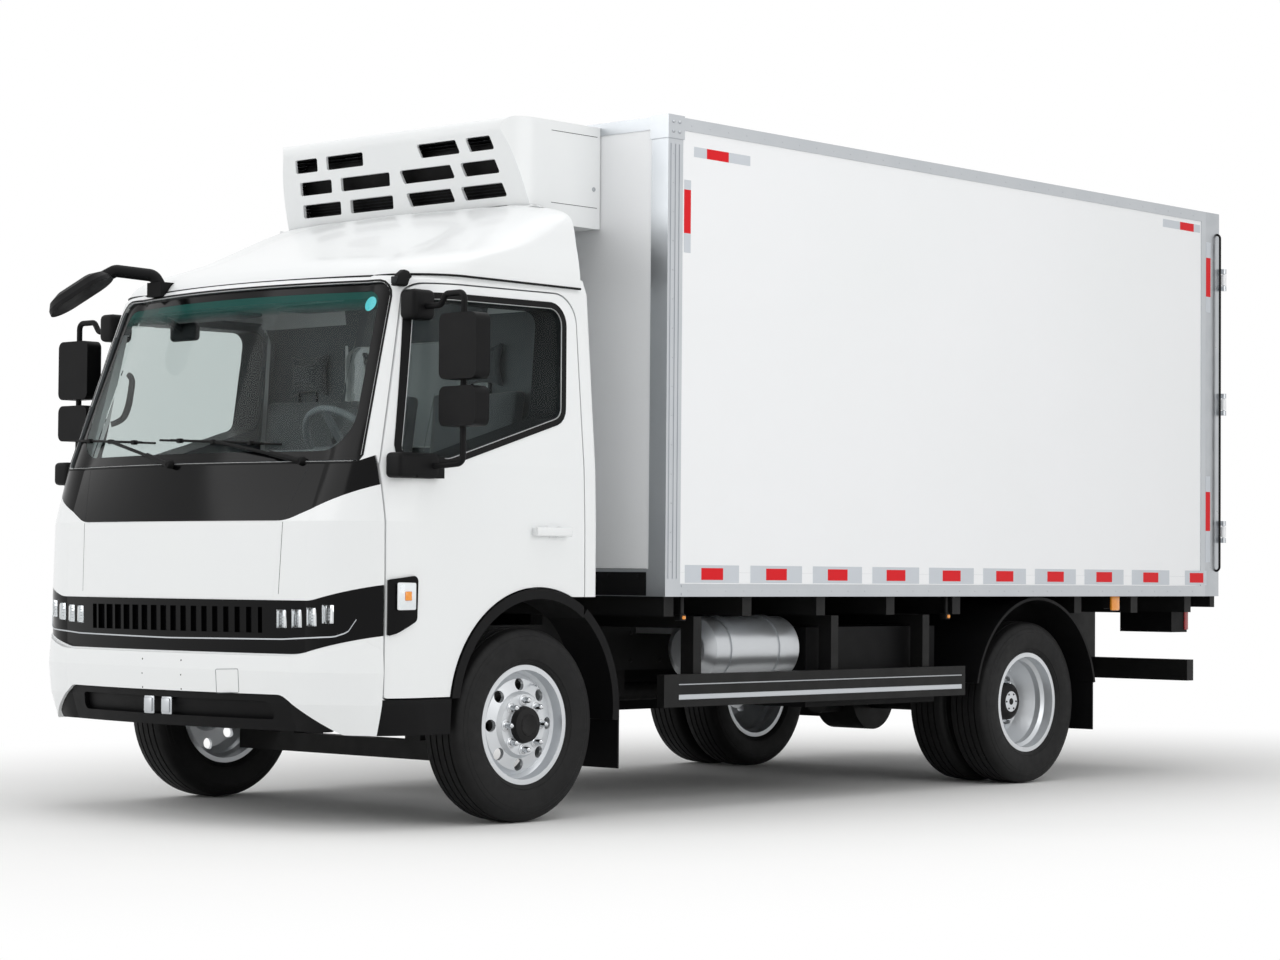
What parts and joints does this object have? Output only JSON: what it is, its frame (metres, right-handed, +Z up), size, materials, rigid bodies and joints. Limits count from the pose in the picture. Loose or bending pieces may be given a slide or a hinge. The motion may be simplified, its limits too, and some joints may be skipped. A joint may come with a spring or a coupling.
{
  "type": "refrigerated box truck",
  "caption": "Light cab-over truck with an insulated cargo box, a cooling unit over the cab, twin rear wheels, side guards and mudguards.",
  "frame": {"origin": "on the ground, midway between the bumper and the tail, in the plane of symmetry", "axes": "+X to the truck's left, +Y to its rear, +Z up"},
  "size_m": [2.556, 5.99, 2.859],
  "materials": {
    "white_paint": "gloss",
    "white_panel": "satin",
    "white_plastic": "satin",
    "black_gloss": "gloss",
    "black_plastic": "matte",
    "grey_plastic": "matte",
    "seat_fabric": "matte",
    "glass": "clear",
    "lamp_glass": "clear",
    "wheel_steel": "silver paint",
    "tyre": "matte",
    "chassis_black": "satin",
    "cast_black": "matte",
    "tank_aluminium": "polished",
    "trim_aluminium": "anodised",
    "floor_aluminium": "mill finish",
    "frame_steel": "satin"
  },
  "bodies": {
    "chassis": {"front_axle_beam": "chassis_black", "rear_axle": "chassis_black", "leaf_springs": "chassis_black", "chassis_frame": "chassis_black", "driveline": "cast_black", "battery_packs": "black_plastic", "air_tank": "tank_aluminium", "tank_brackets": "chassis_black", "cargo_floor": "floor_aluminium", "cargo_side_walls": "white_panel", "cargo_wall_front": "white_panel", "cargo_roof": "white_panel", "box_edge_trim": "trim_aluminium", "corner_castings": "trim_aluminium", "tail_frame": "frame_steel", "reefer_cover": "white_plastic", "reefer_core": "cast_black", "subframe": "chassis_black", "side_guards": "chassis_black", "mudguards": "black_plastic", "tail_lamps": "black_plastic", "rear_underrun": "chassis_black"},
    "cab": {"cab_shell": "white_paint", "cab_glass": "glass", "nose_panel": "white_paint", "nose_band": "black_gloss", "grille_band": "black_gloss", "headlamps": "lamp_glass", "front_bumper": "white_paint", "bumper_intake": "black_plastic", "lower_trim": "black_plastic", "roof_deflector": "white_paint", "kerb_mirror": "black_plastic", "dashboard": "grey_plastic", "steering_wheel": "grey_plastic", "seats": "seat_fabric"},
    "door_left": {"door_left": "white_paint", "door_glass_left": "glass", "mirrors_left": "black_plastic"},
    "door_right": {"door_right": "white_paint", "door_glass_right": "glass", "mirrors_right": "black_plastic"},
    "knuckle_left": {"knuckle_left": "cast_black"},
    "knuckle_right": {"knuckle_right": "cast_black"},
    "wheel_front_left": {"front_rim_left": "wheel_steel", "front_tyre_left": "tyre"},
    "wheel_front_right": {"front_rim_right": "wheel_steel", "front_tyre_right": "tyre"},
    "wheel_rear_left": {"rear_rims_left": "wheel_steel", "rear_tyres_left": "tyre"},
    "wheel_rear_right": {"rear_rims_right": "wheel_steel", "rear_tyres_right": "tyre"},
    "cargo_door_left": {"cargo_door_left": "white_panel", "lock_bars_left": "frame_steel"},
    "cargo_door_right": {"cargo_door_right": "white_panel", "lock_bars_right": "frame_steel"}
  },
  "joints": [
    {"name": "cab_tilt", "type": "hinge", "parent": "chassis", "child": "cab", "pos_m": [0, -2.795, 0.47], "axis": [1, 0, 0], "range_deg": [0, 45]},
    {"name": "steer_left", "type": "hinge", "parent": "chassis", "child": "knuckle_left", "pos_m": [0.865, -1.975, 0.3835], "axis": [0, 0, 1], "range_deg": [-32, 32]},
    {"name": "steer_right", "type": "hinge", "parent": "chassis", "child": "knuckle_right", "pos_m": [-0.865, -1.975, 0.3835], "axis": [0, 0, 1], "range_deg": [-32, 32]},
    {"name": "wheel_spin_front_left", "type": "hinge", "parent": "knuckle_left", "child": "wheel_front_left", "pos_m": [0.9015, -1.975, 0.3835], "axis": [1, 0, 0], "continuous": true},
    {"name": "wheel_spin_front_right", "type": "hinge", "parent": "knuckle_right", "child": "wheel_front_right", "pos_m": [-0.9015, -1.975, 0.3835], "axis": [1, 0, 0], "continuous": true},
    {"name": "wheel_spin_rear_left", "type": "hinge", "parent": "chassis", "child": "wheel_rear_left", "pos_m": [0.837, 1.385, 0.3835], "axis": [1, 0, 0], "continuous": true},
    {"name": "wheel_spin_rear_right", "type": "hinge", "parent": "chassis", "child": "wheel_rear_right", "pos_m": [-0.837, 1.385, 0.3835], "axis": [1, 0, 0], "continuous": true},
    {"name": "door_hinge_left", "type": "hinge", "parent": "cab", "child": "door_left", "pos_m": [0.999, -2.735, 1.2], "axis": [0, 0, -1], "range_deg": [0, 68]},
    {"name": "door_hinge_right", "type": "hinge", "parent": "cab", "child": "door_right", "pos_m": [-0.999, -2.735, 1.2], "axis": [0, 0, 1], "range_deg": [0, 68]},
    {"name": "cargo_door_hinge_left", "type": "hinge", "parent": "chassis", "child": "cargo_door_left", "pos_m": [1.148, 2.982, 1.872], "axis": [0, 0, -1], "range_deg": [0, 270]},
    {"name": "cargo_door_hinge_right", "type": "hinge", "parent": "chassis", "child": "cargo_door_right", "pos_m": [-1.148, 2.982, 1.872], "axis": [0, 0, 1], "range_deg": [0, 270]}
  ],
  "couplings": [
    {"joint": "steer_right", "follows": "steer_left", "ratio": 1}
  ]
}
